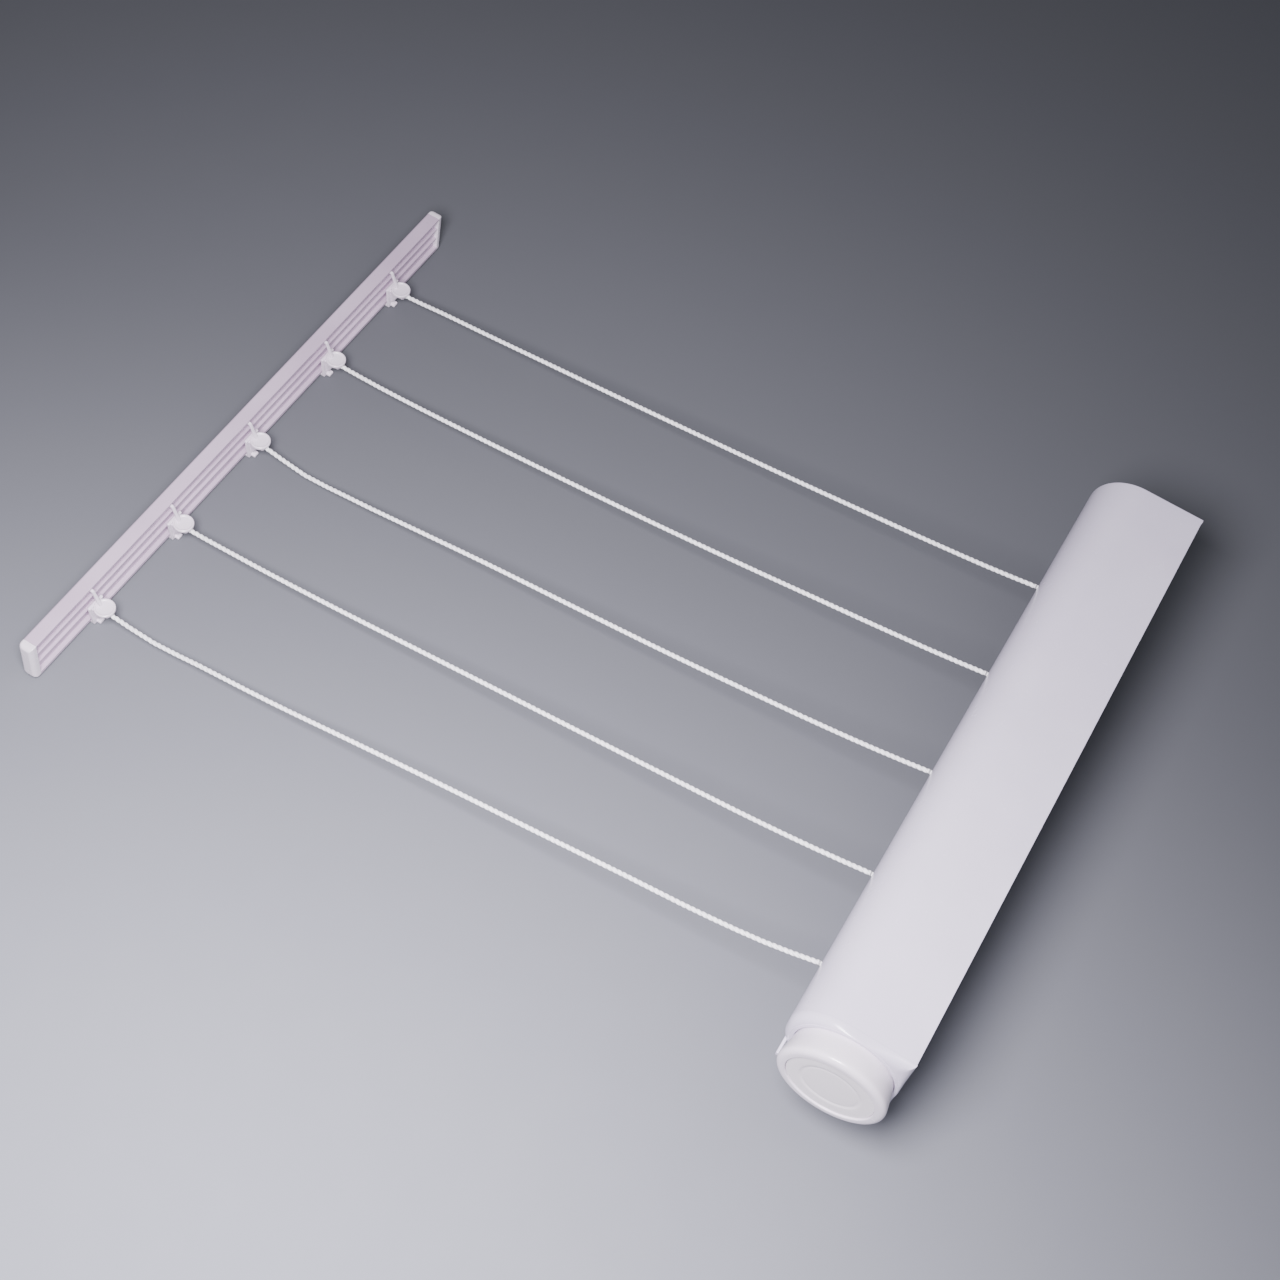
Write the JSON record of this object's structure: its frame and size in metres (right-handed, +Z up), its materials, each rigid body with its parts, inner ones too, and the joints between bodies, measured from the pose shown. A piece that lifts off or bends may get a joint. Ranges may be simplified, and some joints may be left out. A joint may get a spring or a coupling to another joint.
{
  "type": "retractable multi-line wall clothes line",
  "caption": "Retractable wall clothes line: a housing with a spring reel and a lock knob pays out parallel cords to a bar with hooks.",
  "frame": {"origin": "on the wall face of the back plate, level with the reel axis and near the middle of the housing's length", "axes": "+Z up, +Y into the wall, +X along the housing towards the lock knob"},
  "size_m": [0.3831, 0.4734, 0.0911],
  "materials": {
    "shell_plastic": "satin moulded white plastic with a faint cool tint",
    "knob_plastic": "satin moulded white plastic, smooth worn edge",
    "bar_plastic": "satin white plastic with a faint pink tint",
    "line_rope": "white twisted cord",
    "reel_plastic": "grey moulded plastic",
    "steel": "plain steel"
  },
  "bodies": {
    "housing": {"back_plate": "shell_plastic", "front_cover": "shell_plastic", "end_cap_far": "shell_plastic", "end_collar": "shell_plastic", "line_eyelet_1": "bar_plastic", "line_eyelet_2": "bar_plastic", "line_eyelet_3": "bar_plastic", "line_eyelet_4": "bar_plastic", "line_eyelet_5": "bar_plastic", "axle": "steel", "axle_clip": "steel", "spring_cup": "reel_plastic", "spring_cup_lid": "reel_plastic", "mainspring": "steel", "plate_screw_far_lower": "steel", "plate_screw_far_upper": "steel", "plate_screw_near_lower": "steel", "plate_screw_near_upper": "steel", "line_lead_1": "line_rope", "line_lead_2": "line_rope", "line_lead_3": "line_rope", "line_lead_4": "line_rope", "line_lead_5": "line_rope", "line_1": "line_rope", "line_2": "line_rope", "line_3": "line_rope", "line_4": "line_rope", "line_5": "line_rope", "bolt_spring": "steel"},
    "reel": {"reel_drum": "reel_plastic", "spring_arbor": "reel_plastic", "reel_bush": "reel_plastic", "line_winding_1": "line_rope", "line_winding_2": "line_rope", "line_winding_3": "line_rope", "line_winding_4": "line_rope", "line_winding_5": "line_rope"},
    "knob": {"lock_knob": "knob_plastic", "knob_face": "knob_plastic"},
    "bolt": {"lock_bolt": "steel"},
    "bar": {"line_bar": "bar_plastic", "bar_cap_far": "bar_plastic", "bar_cap_near": "bar_plastic", "line_hook_1": "bar_plastic", "line_hook_2": "bar_plastic", "line_hook_3": "bar_plastic", "line_hook_4": "bar_plastic", "line_hook_5": "bar_plastic"}
  },
  "joints": [
    {"name": "bar_slide", "type": "slide", "parent": "housing", "child": "bar", "axis": [0, 0.9927, 0.121], "range_m": [0, 0.396], "deforming": ["line_1", "line_2", "line_3", "line_4", "line_5"]},
    {"name": "reel_spin", "type": "hinge", "parent": "housing", "child": "reel", "pos_m": [0, -0.0274, 0], "axis": [1, 0, 0], "range_deg": [-1080.5, 0]},
    {"name": "knob_turn", "type": "hinge", "parent": "housing", "child": "knob", "pos_m": [0, -0.0274, 0], "axis": [1, 0, 0], "range_deg": [0, 60]},
    {"name": "bolt_slide", "type": "slide", "parent": "housing", "child": "bolt", "axis": [-1, 0, 0], "range_m": [0, 0.00401], "deforming": ["bolt_spring"]}
  ],
  "couplings": [
    {"joint": "reel_spin", "follows": "bar_slide", "rad_per_m": -47.6},
    {"joint": "bolt_slide", "follows": "knob_turn", "m_per_rad": 0.00382}
  ]
}
